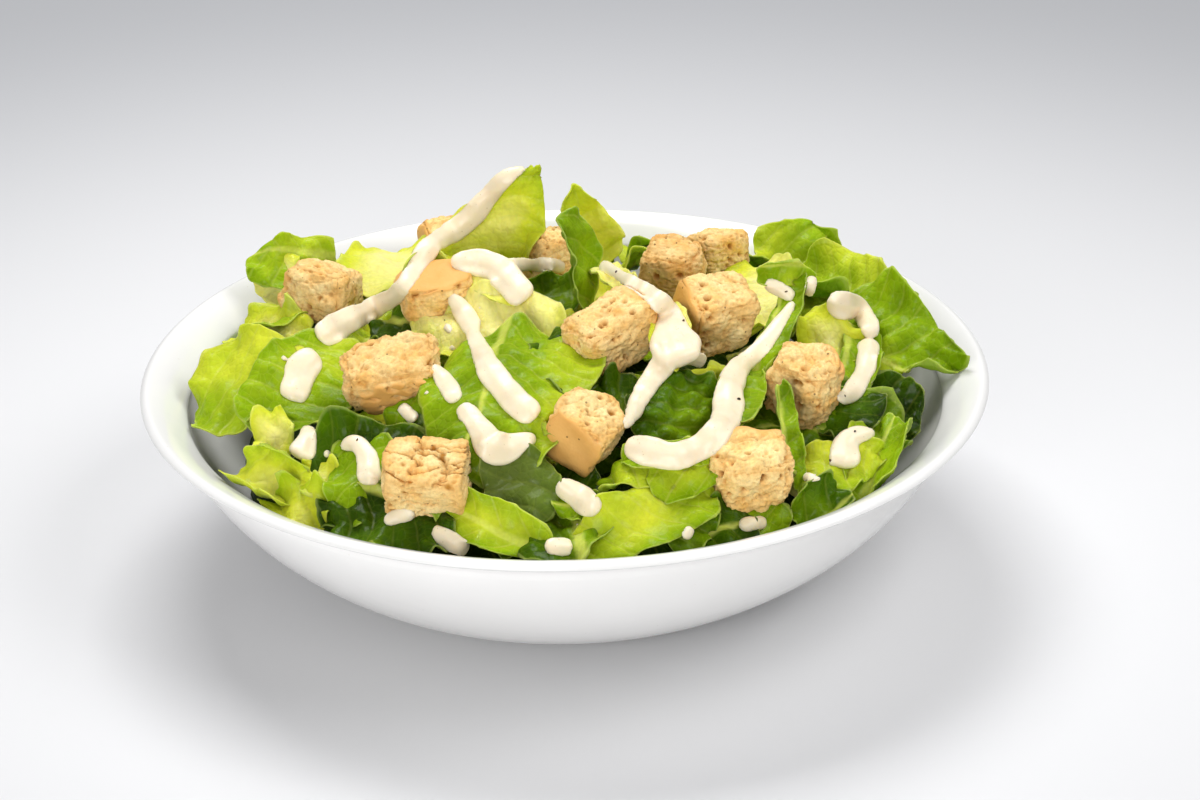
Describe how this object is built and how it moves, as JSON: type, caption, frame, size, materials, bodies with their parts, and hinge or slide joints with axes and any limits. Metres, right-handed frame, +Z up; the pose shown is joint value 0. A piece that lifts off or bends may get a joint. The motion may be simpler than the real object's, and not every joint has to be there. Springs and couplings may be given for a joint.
{
  "type": "caesar salad in a bowl",
  "caption": "Shallow round coupe bowl with a flared lip, heaped with romaine leaves, creamy dressing and toasted bread cubes.",
  "frame": {"origin": "centre of the bowl's foot ring, on the surface it stands on", "axes": "+Z up through the bowl's mouth, -Y towards the viewer, +X to the viewer's right"},
  "size_m": [0.22, 0.22, 0.0954],
  "materials": {
    "bowl": "warm white glazed stoneware",
    "salad": "moist lettuce leaf",
    "dressing": "glossy cream dressing",
    "crouton": "toasted bread",
    "pepper": "cracked black pepper"
  },
  "bodies": {
    "root": {"bowl": "bowl", "salad": "salad", "crouton_01": "crouton", "crouton_02": "crouton", "crouton_03": "crouton", "crouton_04": "crouton", "crouton_05": "crouton", "crouton_06": "crouton", "crouton_07": "crouton", "crouton_08": "crouton", "crouton_09": "crouton", "crouton_10": "crouton", "crouton_11": "crouton", "crouton_12": "crouton", "crouton_13": "crouton"}
  },
  "joints": []
}
